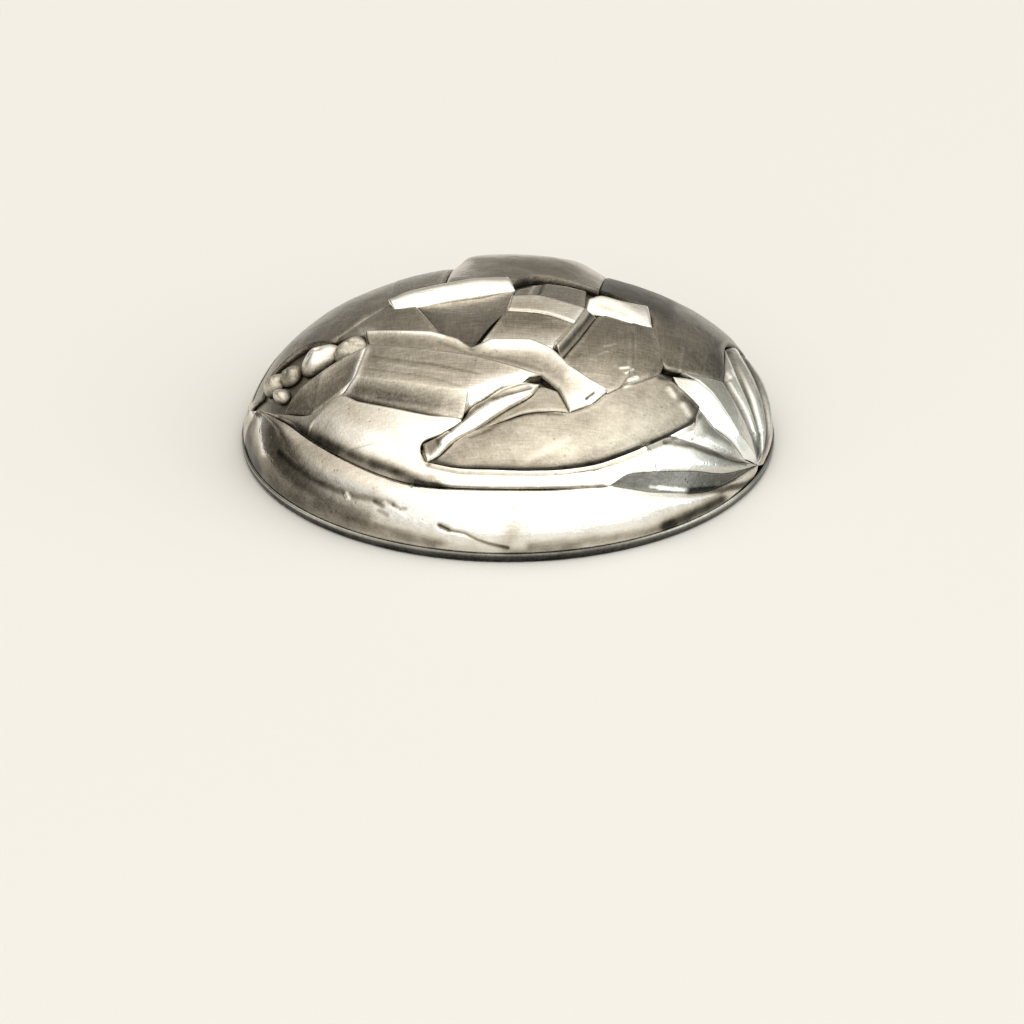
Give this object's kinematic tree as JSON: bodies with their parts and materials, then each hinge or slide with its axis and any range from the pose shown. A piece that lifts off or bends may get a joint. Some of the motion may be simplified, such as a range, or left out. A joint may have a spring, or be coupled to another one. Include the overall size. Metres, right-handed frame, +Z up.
{
  "type": "ball marker",
  "caption": "Coin-sized round marker with a flat back and a domed face covered by folded straps, plates and beads gathered at two points on its rim.",
  "frame": {"origin": "centre of the back plate's underside", "axes": "+Z up through the crown of the dome, -Y towards the broad front band, +X towards the fan of pleats"},
  "size_m": [0.025, 0.025, 0.0068],
  "materials": {
    "polished_silver": "polished warm silver with fine hairline scratches and darker creases",
    "toned_silver": "warm silver darkened by tarnish, softly brushed",
    "base_silver": "satin silver, handled",
    "cup_steel": "plain pressed steel",
    "magnet_nickel": "nickel plated",
    "bond_epoxy": "cured clear amber epoxy"
  },
  "bodies": {
    "root": {"front_band": "polished_silver", "lower_strap": "polished_silver", "crescent_panel": "polished_silver", "gusset": "polished_silver", "rolled_lip": "polished_silver", "upper_strap": "polished_silver", "top_bar": "polished_silver", "cross_band": "polished_silver", "crown_strap": "polished_silver", "strut": "polished_silver", "bracket": "polished_silver", "pleat_lower": "polished_silver", "pleat_middle": "polished_silver", "pleat_upper": "polished_silver", "fan_plate": "polished_silver", "flute_1": "polished_silver", "flute_2": "polished_silver", "flute_3": "polished_silver", "bead_1": "polished_silver", "bead_2": "polished_silver", "bead_3": "polished_silver", "bead_4": "polished_silver", "bead_5": "polished_silver", "cross_bar": "toned_silver", "left_panel": "toned_silver", "upper_left_panel": "toned_silver", "shoulder_plate": "toned_silver", "triangle_panel": "toned_silver", "crown_panel_lower": "toned_silver", "crown_panel_upper": "toned_silver", "square_panel": "toned_silver", "right_facet": "toned_silver", "right_panel": "toned_silver", "leaf_panel": "toned_silver", "rear_left_panel": "toned_silver", "rear_right_panel": "toned_silver", "dome_shell": "base_silver", "back_plate": "base_silver", "back_band": "base_silver", "magnet_cup": "cup_steel", "magnet": "magnet_nickel", "bond_ring": "bond_epoxy"}
  },
  "joints": []
}
